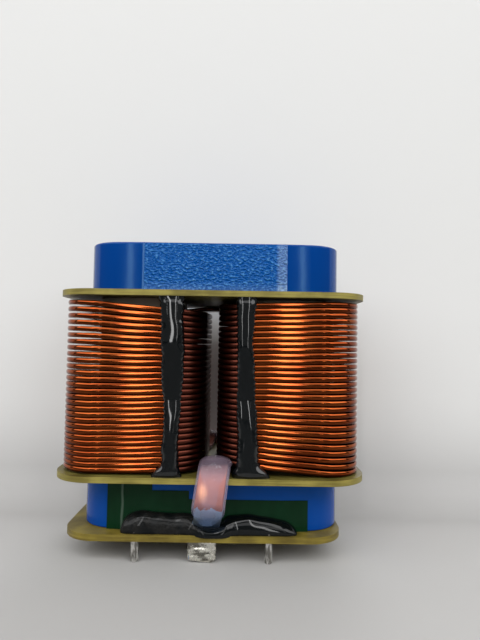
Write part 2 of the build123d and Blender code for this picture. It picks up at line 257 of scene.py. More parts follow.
def laminate(name, pale, dark, faces=()):
    """Glass-epoxy in two tones. A cloudy noise and a fine layered one, stretched so far along the
    board that it makes lines on a cut edge, are added up and choose the tone. As painted shade,
    the colour is multiplied by a little over one half on the flat faces at these heights."""
    material, shade = new_finish(name)
    place = shade.place()
    layers = place.stretched(0.02, 0.02, 1).grain(0.17 * mm, 2.0, 0.6)
    cloud = place.grain(6 * mm, 3.0)
    tone = (0.55 * layers + 0.7 * cloud).eased(0.42, 0.85)
    colour = tone.blend(dark, pale)
    for face in faces:
        # painted shade on the flat faces
        off_face = abs(place.parts()[2] - face).eased(0.01 * mm, 0.06 * mm)
        colour = (0.55 + 0.45 * off_face).blend(black, colour)
    coat_surface(
        shade,
        Base_Color=colour,
        Roughness=0.42,
        Specular_IOR_Level=0.3,
        Normal=layers.bump(0.03 * mm, 0.6),
    )
    return material


flange_boards = ("lower_flange_board", "upper_flange_board")
flange_laminate = laminate(
    "flange_laminate",
    pale=(0.31, 0.262, 0.060, 1),
    dark=(0.14, 0.113, 0.020, 1),
    faces=[level.z for board in flange_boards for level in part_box(board)],
)
for node in flange_boards:
    dress(node, flange_laminate)

# ------------------------------------------------------------------ coils
# Flat enamelled copper wire, bent on its edge round each leg in 29 turns. The two coils are in
# series: their wires meet at the top of the rear. The turns aren't quite level at the front,
# where the glue and the leads hold them.
wire_width = 6.5 * mm
wire_thickness = 1.16 * mm
wire_corner = 0.15 * mm
wire_bow = math.radians(27)
turn_count = 29
outer_bend = 9.0 * mm
coil_gap = 2.7 * mm
bend_steps = 8
side_steps = 5

coil_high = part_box("right_coil")[1]
window_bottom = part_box("lower_flange_board")[1].z
window_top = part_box("upper_flange_board")[0].z
coil_middle = (coil_gap / 2 + coil_high.x) / 2
# these three are to the middle of the wire
bend_radius = outer_bend - wire_width / 2
half_length = (coil_high.x - coil_gap / 2 - wire_width) / 2
half_depth = coil_high.y - wire_width / 2


def eased(value, low, high):
    """Nought below low and one above high, with a soft rise between them."""
    share = np.clip((value - low) / (high - low), 0, 1)
    return share * share * (3 - 2 * share)


def skin(name, rings, material, looped=False):
    """A piece whose skin goes through closed rings of points, with a flat face on each end or
    looped round to its start. Its UV map counts from nought to one round each ring and along the
    rings."""
    rows, columns = rings.shape[:2]
    last = rows if looped else rows - 1
    row, column = np.meshgrid(np.arange(last), np.arange(columns), indexing="ij")
    next_row, beside = (row + 1) % rows, (column + 1) % columns
    corner_rows = np.stack([row, row, next_row, next_row], axis=-1)
    corner_columns = np.stack([column, beside, beside, column], axis=-1)
    sides = (corner_rows * columns + corner_columns).reshape(-1, 4)
    ring = np.arange(columns)
    ends = [] if looped else [ring[::-1].tolist(), (ring + (rows - 1) * columns).tolist()]
    round_share = (column[..., None] + np.array([0, 1, 1, 0])) / columns
    along_share = (row[..., None] + np.array([0, 0, 1, 1])) / last
    marks = np.zeros((len(sides) * 4 + 2 * columns * (not looped), 2))
    marks[: len(sides) * 4] = np.stack([round_share, along_share], axis=-1).reshape(-1, 2)
    mesh = bpy.data.meshes.new(name)
    mesh.from_pydata(rings.reshape(-1, 3), [], sides.tolist() + ends)
    mesh.uv_layers.new(name="round_and_along").data.foreach_set("uv", marks.ravel())
    turned_out(mesh)
    mesh.shade_smooth()
    mesh.set_sharp_from_angle(angle=math.radians(40))
    mesh.materials.append(material)
    piece = bpy.data.objects.new(name, mesh)
    bpy.context.scene.collection.objects.link(piece)
    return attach(piece, "root")


def turned_out(mesh):
    """Turns the faces of a closed mesh outwards. The sum over its faces of area times the normal's
    share of the centre is three times its volume, and it is below nought if it is inside out."""
    count = len(mesh.polygons)
    normals = np.empty(count * 3)
    centres = np.empty(count * 3)
    areas = np.empty(count)
    mesh.polygons.foreach_get("normal", normals)
    mesh.polygons.foreach_get("center", centres)
    mesh.polygons.foreach_get("area", areas)
    if np.sum(areas * np.sum(normals.reshape(-1, 3) * centres.reshape(-1, 3), axis=1)) < 0:
        mesh.flip_normals()


def squared(path, across):
    """Two directions at each point of a path, of length one: across less its share along the path,
    and the cross product of the path's direction with that."""
    along = np.gradient(path, axis=0)
    along /= np.linalg.norm(along, axis=1, keepdims=True)
    across = across - along * np.sum(along * across, axis=1, keepdims=True)
    across /= np.linalg.norm(across, axis=1, keepdims=True)
    return across, np.cross(along, across)


def carried(profile, path, across):
    """Rings of a profile carried along a path. Its first axis lies along across and its second
    upright, square to that and to the path."""
    across, upright = squared(path, across)
    spread_across = profile[None, :, 0, None] * across[:, None]
    spread_upright = profile[None, :, 1, None] * upright[:, None]
    return path[:, None] + (spread_across + spread_upright)


def rolled_strip(width, thickness, corner, bow):
    """The section of flat wire. Each narrow edge is an arc that leans by bow at its ends, and goes
    on in a small arc of radius corner to the flat faces. It starts at the lower end of its right
    edge, so the first half of the way round goes up that edge and the second down the left one."""
    bow_radius = (thickness / 2 - corner * (1 - math.sin(bow))) / math.sin(bow)
    edge = np.linspace(-bow, bow, 7)
    turn = np.linspace(bow, math.pi / 2, 4)[1:]
    arc_x = width / 2 - bow_radius * (1 - np.cos(edge))
    arc_y = bow_radius * np.sin(edge)
    corner_x = arc_x[-1] + corner * (np.cos(turn) - math.cos(bow))
    corner_y = arc_y[-1] + corner * (np.sin(turn) - math.sin(bow))
    side_x = np.concatenate([corner_x[::-1], arc_x, corner_x])
    side_y = np.concatenate([-corner_y[::-1], arc_y, corner_y])
    right_side = np.column_stack([side_x, side_y])
    return np.vstack([right_side, -right_side])


def rounded_loop():
    """One turn in plan, from the front end of its inner side: even steps along each side and a
    quarter arc at each corner. Returns the points about the leg's middle, and the outward
    direction at each."""
    quarter = np.linspace(0, math.pi / 2, bend_steps + 1)
    side = np.linspace(0, 1, side_steps + 1)[:-1]
    points = []
    outwards = []
    corner_x = half_length - bend_radius
    corner_y = half_depth - bend_radius
    starts = [(-1, -1), (-1, 1), (1, 1), (1, -1)]
    for index, (sign_x, sign_y) in enumerate(starts):
        next_x, next_y = starts[(index + 1) % 4]
        angle = math.pi - index * math.pi / 2
        out = np.array([math.cos(angle), math.sin(angle)])
        start = np.array([sign_x * corner_x, sign_y * corner_y]) + bend_radius * out
        end = np.array([next_x * corner_x, next_y * corner_y]) + bend_radius * out
        points.append(start + side[:, None] * (end - start))
        outwards.append(np.tile(out, (side_steps, 1)))
        turned = angle - quarter[:-1]
        arc = np.stack([np.cos(turned), np.sin(turned)], axis=1)
        points.append(np.array([next_x * corner_x, next_y * corner_y]) + bend_radius * arc)
        outwards.append(arc)
    return np.concatenate(points), np.concatenate(outwards)


def wound(front_turn, top, drop, bow, lean, lean_change, lean_bow, front_sign=-1):
    """The middle line of a coil, rising from the bottom, and its outward directions. A turn's
    height falls with its share s of the way down: top - drop s + bow s (1 - s). Its front leans
    by lean + lean_change s + lean_bow s (1 - s) from the inner to the outer side, and its rear
    doesn't. front_turn is the part of a turn that lies before the middle of its front."""
    loop, outward = rounded_loop()
    step = np.linalg.norm(np.roll(loop, -1, axis=0) - loop, axis=1)
    travelled = np.concatenate([[0], np.cumsum(step)[:-1]]) / step.sum()
    turn = (np.arange(turn_count)[:, None] + travelled).ravel()
    plan = np.tile(loop, (turn_count, 1))
    way_down = 1 - (turn - front_turn) / (turn_count - 1)
    outer_share = (plan[:, 0] + half_length) / (2 * half_length)
    front_share = eased(front_sign * plan[:, 1], -half_depth, half_depth)
    tilt = lean + lean_change * way_down + lean_bow * way_down * (1 - way_down)
    level = top - drop * way_down + bow * way_down * (1 - way_down)
    level = level + front_share * (outer_share - 0.5) * tilt
    path = np.column_stack([plan[:, 0] + coil_middle, plan[:, 1], level])
    across = np.column_stack([np.tile(outward, (turn_count, 1)), 0 * level])
    return path, across


def half_turned(points):
    """The same points carried half a turn about the upright axis."""
    return points * np.array([-1, -1, 1])


def smooth_line(points, steps):
    """A smooth line through points, with this many steps between each two: a cubic that leaves each
    point along the line between its neighbours."""
    knots = np.array(points)
    before = np.vstack([2 * knots[0] - knots[1], knots[:-1]])
    after = np.vstack([knots[1:], 2 * knots[-1] - knots[-2]])
    slope = (after - before) / 2
    share = (np.arange(steps) / steps)[None, :, None]
    start, end = knots[:-1, None], knots[1:, None]
    leave, arrive = slope[:-1, None], slope[1:, None]
    line = (
        start * (2 * share**3 - 3 * share**2 + 1)
        + leave * (share**3 - 2 * share**2 + share)
        + end * (3 * share**2 - 2 * share**3)
        + arrive * (share**3 - share**2)
    )
    return np.vstack([line.reshape(-1, knots.shape[1]), knots[-1:]])


sleeve_low, sleeve_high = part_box("front_lead_sleeve")
tab_low, tab_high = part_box("front_tab_solder")
board_low, board_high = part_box("base_board")
lead_front = sleeve_low.y + 1.6 * mm
lead_crest = sleeve_high.z - 2.15 * mm
tab_middle = (tab_low.x + tab_high.x) / 2
tab_y = (tab_low.y + tab_high.y) / 2
tab_foot = tab_low.z + 0.95 * mm
lead_yaw = math.radians(5)
lead_steps = 6
yaw_rise = (14, 26)
yaw_fall = (46, 60)


def lead_line(coil_start, tab_x):
    """The lead's middle line, worked out at the front: a smooth line from its tinned end up over
    the hump to the start of the coil."""
    fall = lead_crest - board_high.z
    slide = coil_start[0] - tab_x
    return smooth_line(
        [
            (tab_x, tab_y, tab_foot),
            (tab_x, tab_y, board_high.z),
            (tab_x + 0.16 * slide, tab_y - 0.6 * mm, board_high.z + 0.13 * fall),
            (tab_x + 0.25 * slide, tab_y - 4.6 * mm, board_high.z + 0.30 * fall),
            (tab_x + 0.30 * slide, lead_front + 0.3 * mm, board_high.z + 0.48 * fall),
            (tab_x + 0.34 * slide, lead_front + 0.1 * mm, board_high.z + 0.61 * fall),
            (tab_x + 0.40 * slide, lead_front + 1.0 * mm, board_high.z + 0.77 * fall),
            (tab_x + 0.45 * slide, lead_front + 2.4 * mm, board_high.z + 0.90 * fall),
            (tab_x + 0.50 * slide, lead_front + 4.6 * mm, lead_crest),
            (tab_x + 0.57 * slide, lead_front + 6.4 * mm, lead_crest - 0.7 * mm),
            (tab_x + 0.78 * slide, 0.25 * lead_front + 0.75 * coil_start[1], coil_start[2]),
            tuple(coil_start),
        ],
        lead_steps,
    )


wire_section = rolled_strip(wire_width, wire_thickness, wire_corner, wire_bow)
meeting_level = window_top - 0.75 * mm
meeting_x = coil_gap / 2 + wire_width / 2 - bend_radius
side_corner = half_depth - bend_radius


def raised_to(path, level):
    """The path with its height eased from that of its first point to this level at its last."""
    share = eased(np.linspace(0, 1, len(path)), 0, 1)
    return np.column_stack([path[:, :2], path[0, 2] + share * (level - path[0, 2])])


def lead_across(lead):
    """The direction across the lead at each point: level, and turned a few degrees on the hump,
    between eased ends that are counted in steps along the lead."""
    step = np.arange(len(lead))
    yaw = lead_yaw * eased(step, *yaw_rise) * (1 - eased(step, *yaw_fall))
    return np.column_stack([-np.cos(yaw), np.sin(yaw), 0 * yaw])


def winding(lead, path, across, end, end_across):
    """One wire's middle line and the direction across it: its lead, the turns of its coil and the
    end that goes to the other coil, joined where they share a point."""
    line = np.vstack([lead[:-1], path, end[1:]])
    return line, np.vstack([lead_across(lead)[:-1], across, end_across[1:]])


right_path, right_across = wound(
    front_turn=0.84,
    top=61.55 * mm,
    drop=38.36 * mm,
    bow=1.50 * mm,
    lean=1.21 * mm,
    lean_change=-3.25 * mm,
    lean_bow=4.47 * mm,
)
front_lead = lead_line(right_path[0], tab_middle)
inner_steps = 6
side_run = np.linspace(0, 1, inner_steps + 1)[:-1, None]
quarter = np.linspace(0, math.pi / 2, bend_steps + 1)
inner_x = coil_gap / 2 + wire_width / 2
inner_start = np.array([inner_x, -side_corner, 0])
inner_end = np.array([inner_x, side_corner, 0])
inner_run = inner_start + side_run * (inner_end - inner_start)
reverse_bend = np.column_stack([np.cos(quarter), np.sin(quarter), 0 * quarter])
last_bend = np.array([meeting_x, side_corner, 0]) + bend_radius * reverse_bend
end_plan = np.vstack([right_path[-1], inner_run, last_bend])
end_plan[:, 2] = right_path[-1, 2]
end_across = np.vstack([np.tile([-1.0, 0, 0], (inner_steps + 1, 1)), -reverse_bend])
right_line = winding(
    front_lead, right_path, right_across, raised_to(end_plan, meeting_level), end_across
)

# The left coil is worked out as a right one and carried half a turn about the upright axis, so
# its front is the rear here. It leaves out the last bend and runs straight on to the meeting.
left_path, left_across = wound(
    front_turn=0.34,
    top=60.57 * mm,
    drop=38.01 * mm,
    bow=-3.60 * mm,
    lean=2.08 * mm,
    lean_change=-2.70 * mm,
    lean_bow=-5.19 * mm,
    front_sign=1,
)
left_path, left_across = left_path[:-bend_steps], left_across[:-bend_steps]
rear_lead = lead_line(left_path[0], -tab_middle)
run_steps = 8
run_on = np.repeat(left_path[-1:], run_steps, axis=0)
run_on[:, 0] = np.linspace(left_path[-1, 0], -meeting_x, run_steps)
run_across = np.repeat(left_across[-1:], run_steps, axis=0)
left_line = winding(
    rear_lead, left_path, left_across, raised_to(run_on, meeting_level), run_across
)

tinned_level = board_high.z + 10.2 * mm
tinned_edge = 0.4 * mm
drip_length = 3.5 * mm
# the copper between the coils is painted darker, as painted shade
shaded_inner_red = (0.125, 0.034, 0.021, 1)
shaded_inner_dark = (0.080, 0.021, 0.014, 1)
outer_orange = (0.34, 0.078, 0.018, 1)
outer_dark = (0.22, 0.040, 0.010, 1)
pink_copper = (0.35, 0.135, 0.105, 1)
painted_highlight_copper = (0.85, 0.43, 0.26, 1)
dipped_tin = (0.34, 0.45, 0.64, 1)
# the painted highlight on the lead under its sleeve is round once its place is scaled by these
highlight_scale = (1, 0, 0.55)
highlight_middle = (-1.0 * mm, 0, 10.4 * mm)

enamel, shade = new_finish("enamelled_copper")
place = shade.place()
place_x, place_y, place_z = place.parts()
tarnish = place.grain(7 * mm, 3.0, 0.6)
streak = place.stretched(0.3, 0.3, 1).grain(1.8 * mm)
tone = (0.7 * tarnish + 0.4 * streak).eased(0.35, 0.75)
outer = abs(place_x).eased(7 * mm, 10.5 * mm)
copper = tone.blend(outer.blend(shaded_inner_dark, outer_dark), outer.blend(shaded_inner_red, outer_orange))
# painted shade: the lower half of each narrow edge of the wire is painted darker
upper_half = shade.marks().parts()[0].folded(0.5).eased(0.16, 0.26)
shaded = (0.40 + 0.60 * upper_half).blend(black, copper)
in_sleeve = abs(place_y).eased(19.7 * mm, 20.6 * mm) * (1 - outer)
off_highlight = place.stretched(*highlight_scale).distance(highlight_middle).eased(0.1 * mm, 1.5 * mm)
lead_copper = in_sleeve.blend(shaded, off_highlight.blend(painted_highlight_copper, pink_copper))
drip = place.stretched(1, 1, 0.3).grain(0.9 * mm)
dipped = 1 - (place_z + drip_length * drip).eased(tinned_level, tinned_level + tinned_edge)
coat_surface(
    shade,
    Base_Color=dipped.blend(lead_copper, dipped_tin),
    Metallic=1.0,
    Roughness=0.07 + 0.25 * (1 - outer) + 0.26 * in_sleeve,
)
right_winding = skin("right_winding", carried(wire_section, *right_line), enamel)
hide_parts("right_coil")
left_winding = skin("left_winding", half_turned(carried(wire_section, *left_line)), enamel)
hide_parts("left_coil")

# ------------------------------------------------------------------ base board and pins
# A glass-epoxy board under the lower yoke, set a little to the left, with four tinned pins
# pressed through it and headed on top.
base_laminate = laminate(
    "base_laminate", pale=(0.25, 0.192, 0.030, 1), dark=(0.095, 0.068, 0.009, 1)
)
dress("base_board", base_laminate)

pin_grey = (0.24, 0.23, 0.21, 1)
pin_bright = (0.95, 0.94, 0.90, 1)

pin_tin, shade = new_finish("pin_tin")
run_down = shade.place().stretched(1, 1, 0.25).grain(0.5 * mm)
coat_surface(
    shade,
    Base_Color=run_down.eased(0.4, 0.65).blend(pin_grey, pin_bright),
    Metallic=1.0,
    Roughness=0.24,
    Normal=run_down.bump(0.15 * mm),
)
for end in ("front", "rear"):
    for side in ("left", "right"):
        dress(f"{end}_{side}_pin", pin_tin)

# ------------------------------------------------------------------ tape
# Dark green polyester tape on the long faces of the lower yoke, in two lengths. The shorter one
# has an upright crease near its middle.
crease_x = 21.3 * mm
crease_sway = 1.2 * mm
crease_green = (0.06, 0.10, 0.07, 1)
tape_dark = (0.001, 0.018, 0.005, 1)
tape_green = (0.003, 0.034, 0.012, 1)

tape_film, shade = new_finish("green_tape")
place = shade.place()
place_x, place_y, _ = place.parts()
wrinkle = place.stretched(1, 1, 0.4).grain(3 * mm)
off_crease = abs(abs(place_x) - crease_x + crease_sway * (wrinkle - 0.5)).eased(0.1 * mm, 0.5 * mm)
crease = (1 - off_crease) * (1 - (place_x * place_y).below(0))
coat_surface(
    shade,
    Base_Color=crease.blend(wrinkle.blend(tape_dark, tape_green), crease_green),
    Roughness=0.22,
    Specular_IOR_Level=0.12,
    Normal=(wrinkle + 0.6 * crease).bump(0.12 * mm, 0.6),
)
for end in ("front", "rear"):
    for side in ("left", "right"):
        dress(f"{end}_{side}_tape", tape_film)

# ------------------------------------------------------------------ lead sleeves
# Milky sleeve slid over each lead, from the coil to just above the base board. It bulges where
# the lead bends over, closes in towards its lower end and is open at both ends. Its crest is
# painted darker, as painted shade.
sleeve_wall = 0.32 * mm
sleeve_start = 14
sleeve_stop = 54
sleeve_sides = 32


def sleeve_rings(lead):
    """The sleeve's outer skin along the lead and its inner skin back again. Each ring is a cosine
    and a sine raised to a power below one, which squares the corners of the oval. Its width grows
    from the lower end, and a bell curve over the climb gives the bulge."""
    line = lead[sleeve_start:sleeve_stop]
    across, upright = squared(line, lead_across(lead)[sleeve_start:sleeve_stop])
    climb = np.linspace(0, 1, len(line))[:, None]
    angle = np.arange(sleeve_sides)[None] * 2 * math.pi / sleeve_sides
    bulge = np.exp(-(((climb - 0.87) / 0.16) ** 2))
    half_width = 1.9 * mm + 1.85 * mm * eased(climb, -0.03, 0.2)
    half_thickness = 0.95 * mm + 0.85 * mm * bulge
    wide = np.sign(np.cos(angle)) * np.abs(np.cos(angle)) ** (0.72 + 0.28 * bulge)
    deep = np.sign(np.sin(angle)) * np.abs(np.sin(angle)) ** (0.85 + 0.15 * bulge)
    skins = []
    for wall in (0, sleeve_wall):
        x = ((half_width - wall) * wide)[..., None] * across[:, None]
        y = ((half_thickness - wall) * deep)[..., None] * upright[:, None]
        skins.append(line[:, None] + x + y)
    return np.concatenate([skins[0], skins[1][::-1]])


milk_white = (0.58, 0.48, 0.64, 1)
# painted shade: the sleeve is painted darker over its crest
crest_painted_shade = (0.20, 0.15, 0.20, 1)
foot_blue = (0.26, 0.39, 0.66, 1)

milky, shade = new_finish("milky_sleeve")
place = shade.place()
place_z = place.parts()[2]
haze = place.grain(2.2 * mm)
low_end = 1 - place_z.eased(11.5 * mm, 15 * mm)
crest = place_z.eased(20.5 * mm, 25 * mm)
side = abs(shade.marks().parts()[0].folded(0.5) - 0.25).eased(0.15, 0.25)
coat_surface(
    shade,
    Base_Color=low_end.blend(crest.blend(milk_white, crest_painted_shade), foot_blue),
    Roughness=0.15,
    Alpha=0.05 + 0.12 * haze + 0.24 * side + 0.18 * low_end + 0.20 * crest,
    Normal=haze.bump(0.1 * mm, 0.5),
)
for node, lead in {
    "front_lead_sleeve": front_lead,
    "rear_lead_sleeve": half_turned(rear_lead),
}.items():
    sleeve = skin(f"{node}_skin", sleeve_rings(lead), milky, looped=True)
    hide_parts(node)

# ------------------------------------------------------------------ solder
# The end of each lead below the base board is dipped in solder, which sets in a lumpy coat that
# is frosted in places.
solder_dull = (0.22, 0.21, 0.18, 1)
solder_bright = (0.80, 0.78, 0.70, 1)

solder_tin, shade = new_finish("tin")
place = shade.place()
frost = place.grain(0.7 * mm, 3.0, 0.6)
flow = place.stretched(0.7, 1, 1.4).grain(2.6 * mm)
bright = (0.2 * frost + 0.8 * flow).eased(0.40, 0.52)
coat_surface(
    shade,
    Base_Color=bright.blend(solder_dull, solder_bright),
    Metallic=1.0,
    Roughness=0.20 + 0.15 * frost,
    Normal=flow.bump(0.7 * mm),
)


def uneven(value, seed, waves):
    """An uneven line, between about minus one and one: a sum of sine waves, each shorter and weaker
    than the last."""
    chance = np.random.default_rng(seed)
    total = 0 * value
    for index in range(waves):
        rate = (1.7**index) * chance.uniform(0.8, 1.25)
        total = total + np.sin(value * rate + chance.uniform(0, 2 * math.pi)) / (1 + 0.6 * index)
    return total / 2


def solder_coat(node):
    """Rings up the lead's end, worked out at the front. Each is a cosine and a sine raised to a
    power below one. At the lower end they are drawn in by the root of one less a square, uneven
    lines round and along them make them lumpy, and the foot sags in a wave."""
    low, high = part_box("front_tab_solder")
    climb = np.linspace(0, 1, 44)[:, None]
    angle = np.linspace(0, 2 * math.pi, 65)[None, :-1]
    cosine, sine = np.cos(angle), np.sin(angle)
    close = np.minimum(1, (1 - (1 - np.minimum(1, climb / 0.22)) ** 2 * 0.97) ** 0.5)
    lumps = uneven(climb * 9 + 3 * cosine, 61, 3) + 0.5 * uneven(climb * 17 + 7 * sine, 62, 2)
    wide = (high.x - low.x) / 2 * (close * 0.3 + 0.7 * close**0.25 - 0.03 + 0.025 * lumps)
    deep = (high.y - low.y) / 2 * close * (0.92 + 0.08 * lumps)
    x = (low.x + high.x) / 2 + wide * np.sign(cosine) * np.abs(cosine) ** 0.45
    y = (low.y + high.y) / 2 + deep * np.sign(sine) * np.abs(sine) ** 0.6
    wave = 0.5 + 0.5 * np.sin(5.2 * (x - low.x) / (high.x - low.x) + 0.6)
    sag = 0.3 * mm * (1 - climb) * wave
    rings = np.stack([x, y, low.z + climb * (high.z - low.z) + sag], axis=-1)
    if node == "rear_tab_solder":
        rings = half_turned(rings)
    coat = skin(f"{node}_skin", rings, solder_tin)
    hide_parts(node)


solder_coat("front_tab_solder")
solder_coat("rear_tab_solder")

# ------------------------------------------------------------------ glue
# Black glue laid by hand: two beads up the coils at the front and two at the rear, and a thick
# run in the corner of the lower yoke and the base board. It sets glossy with a slight ripple, and
# is duller and scuffed towards one end of each lower run.
glue_dark = (0.002, 0.003, 0.0035, 1)
glue_scuffed = (0.008, 0.008, 0.0075, 1)

glue_black, shade = new_finish("black_glue")
place = shade.place()
place_x, place_y, place_z = place.parts()
low_down = 1 - place_z.eased(12 * mm, 13 * mm)
along_bead = place.stretched(1, 1, 0.3).grain(2.2 * mm, 0.5, 0.4)
along_run = place.stretched(0.2, 1, 1).grain(1.8 * mm, 0.5, 0.4)
ripple = along_bead + low_down * (along_run - along_bead)
dull = low_down * (place_x * place_y).eased(-20 * mm**2, 40 * mm**2)
scuffed = dull * place.grain(3 * mm, 1.0).eased(0.3, 0.6)
scratches = scuffed * place.grain(1.1 * mm)
coat_surface(
    shade,
    Base_Color=scuffed.blend(glue_dark, glue_scuffed),
    Roughness=0.05 + 0.30 * dull,
    Specular_IOR_Level=0.1,
    Coat_Weight=1 - 0.55 * low_down - 0.22 * dull,
    Coat_Roughness=0.05,
    Normal=((0.12 - 0.06 * low_down) * ripple + 2.0 * scratches).bump(0.3 * mm, 0.7),
)

coil_front = coil_high.y
turn_pitch = (window_top - window_bottom - wire_thickness) / (turn_count + 1)
foot_proud = 1.75 * mm
middle_thinner = 1.25 * mm
top_thicker = 0.7 * mm
most_proud = 1.72 * mm
bead_sunk = 1.1 * mm


def glue_bead(node, way, edges, seed):
    """Rings up a coil, each a flattened crown outside and half an oval sunk between the turns.
    edges gives the heights above the foot and the distances of both sides from the part's middle,
    in millimetres, and smooth lines through them are made to waver. The bead spreads at its foot,
    is thin in the middle and thicker again above, and bulges a little between the turns. The
    crown is one less a power of the place across it, its crest wanders to and fro, and low ridges
    run up it. way is minus one at the front and one at the rear."""
    low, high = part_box(node)
    climb = np.linspace(0, 1, 190)[:, None]
    angle = np.linspace(0, 2 * math.pi, 41)[None, :-1]
    travel = climb * (high.z - low.z)
    sides = smooth_line(edges, 12) * mm
    inner, outer = (np.interp(travel, sides[:, 0], sides[:, column]) for column in (1, 2))
    middle = math.copysign(1, low.x) * (inner + outer) / 2 + 0.12 * mm * uneven(climb * 22, seed, 3)
    half = (outer - inner) / 2 + 0.12 * mm * uneven(climb * 26, seed + 1, 3)
    between_turns = np.sin(travel * 2 * math.pi / turn_pitch) * eased(climb, 0.005, 0.075)
    half = half + 0.13 * mm * between_turns * np.abs(np.cos(angle)) ** 8
    proud = foot_proud - middle_thinner * np.minimum(climb / 0.42, 1)
    proud = proud + top_thicker * eased(climb, 0.42, 0.76)
    proud = proud + 0.06 * mm * uneven(climb * 9, seed + 2, 3)
    proud = proud - 0.5 * mm * (1 - eased(climb, 0, 0.03)) - 0.2 * mm * eased(climb, 0.955, 0.99)
    across = np.cos(angle) + 0.16 * uneven(climb * 11, seed + 3, 3) * np.sin(angle) ** 2
    crown = np.maximum(0, 1 - np.abs(across) ** 3.2) ** 0.6
    ridges = 1 + 0.02 * np.sin(5 * across + 1.6 * uneven(climb * 9, seed + 5, 2))
    outward = np.sin(angle)
    outside = np.minimum(proud * ridges, most_proud) * crown
    depth = np.where(outward > 0, outside, -bead_sunk * np.abs(outward))
    x = middle + half * np.cos(angle)
    y = way * (coil_front + depth)
    z = low.z + travel + 0 * angle
    bead = skin(f"{node}_skin", np.stack([x, y, z], axis=-1), glue_black)
    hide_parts(node)


front_left_edges = (
    (0, 6.2, 13.4),
    (1.1, 6.5, 12.8),
    (3, 7.0, 11.2),
    (6.6, 7.1, 11.0),
    (15.6, 6.8, 10.8),
    (22.6, 6.3, 11.4),
    (31.6, 6.3, 11.8),
    (39.5, 6.6, 12.0),
    (41.8, 6.2, 12.9),
)
front_right_edges = (
    (0, 5.4, 14.2),
    (1.1, 5.4, 13.6),
    (3, 6.5, 11.8),
    (6, 6.5, 11.5),
    (17.6, 6.3, 10.7),
    (31.6, 6.1, 10.1),
    (39.5, 5.9, 10.5),
    (41.8, 5.8, 10.9),
)
glue_bead("front_left_glue_bead", -1, front_left_edges, seed=3)
glue_bead("front_right_glue_bead", -1, front_right_edges, seed=11)
glue_bead("rear_left_glue_bead", 1, front_right_edges, seed=23)
glue_bead("rear_right_glue_bead", 1, front_left_edges, seed=31)

# the places along the front run and the heights of its top edge there, in millimetres
run_top = (
    (-21.3, 10.4),
    (-20.3, 11.0),
    (-14.3, 11.4),
    (-4.6, 10.7),
    (-2.2, 9.6),
    (0.3, 8.9),
    (3.0, 9.6),
    (4.6, 10.6),
    (9.9, 10.9),
    (15, 10.3),
    (18.8, 9.7),
    (21.3, 8.6),
)
yoke_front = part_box("lower_yoke")[0].y
run_depth = yoke_front - board_low.y - 0.35 * mm
run_sunk = 0.3 * mm


def base_glue(node, seed):
    """Glue in the corner of yoke and board, worked out at the front: rings square to X about the
    corner, whose outer quarter is a cosine and a sine raised to a power near one and whose other
    quarters are sunk in the yoke and the board. The top edge is a smooth line that dips where the
    lead passes, and a lump there hangs over the board's edge. Uneven lines along the run make it
    swell, and low ridges follow it."""
    low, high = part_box("front_base_glue")
    run = np.linspace(0, 1, 240)[:, None]
    angle = np.linspace(0, 2 * math.pi, 49)[None, :-1]
    cosine, sine = np.cos(angle), np.sin(angle)
    x = low.x + run * (high.x - low.x)
    top = smooth_line(run_top, 12) * mm
    top = np.interp(x, top[:, 0], top[:, 1])
    end = np.sqrt(1 - np.abs(2 * run - 1) ** 14)
    lump = np.exp(-(((x - tab_middle - 2.6 * mm) / (4.2 * mm)) ** 4))
    rise = (top - board_high.z) * end * (1 + 0.06 * uneven(run * 17, seed + 2, 3))
    reach = run_depth * (0.985 + 0.02 * uneven(run * 14, seed + 3, 3)) * end**0.4
    reach = reach + lump * (board_low.y - low.y + 0.1 * mm)
    hang = run_sunk + lump * (board_high.z - low.z - run_sunk)
    rumple = uneven(run * 8 + 0.8 * np.sin(2 * angle), seed, 2)
    ridges = np.sin(6 * angle + 0.7 * uneven(run * 5, seed + 4, 2))
    swell = 1 + (0.05 * rumple + 0.02 * ridges) * np.sin(2 * angle)
    swell = np.where((cosine > 0) & (sine > 0), swell, 1)
    ahead = np.where(cosine > 0, reach * swell * np.abs(cosine) ** 0.85, -run_sunk * np.abs(cosine))
    above = np.where(sine > 0, rise * swell * np.abs(sine) ** 0.85, -hang * np.abs(sine) ** 0.7)
    rings = np.stack([x + 0 * angle, yoke_front - ahead, board_high.z + above], axis=-1)
    if node == "rear_base_glue":
        rings = half_turned(rings)
    glue = skin(f"{node}_skin", rings, glue_black)
    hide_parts(node)


base_glue("front_base_glue", seed=41)
base_glue("rear_base_glue", seed=53)

# ------------------------------------------------------------------ surroundings
# A sheet of pale paper lies on the floor, turns up close behind the part and goes on as the floor
# behind. It is painted darker low down and towards the front, as painted shade. From behind it is
# clear to look through, and its upright part throws no shadow.
sheet_reach = 1.2
backdrop_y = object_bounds()[1].y + 4 * mm
backdrop_top = 1.0
turn_radius = 12 * mm
turn_foot_y = backdrop_y - turn_radius
turn = np.linspace(0, math.pi / 2, 17)
sweep_y = np.concatenate(
    [
        [-sheet_reach],
        turn_foot_y + turn_radius * np.sin(turn),
        [backdrop_y, turn_foot_y, sheet_reach],
    ]
)
sweep_z = np.concatenate([[0], turn_radius - turn_radius * np.cos(turn), [backdrop_top, 0, 0]])
sweep_x = np.array([-sheet_reach, sheet_reach])
corner_y, corner_x = np.meshgrid(sweep_y, sweep_x, indexing="ij")
corner_z = np.repeat(sweep_z[:, None], 2, axis=1)
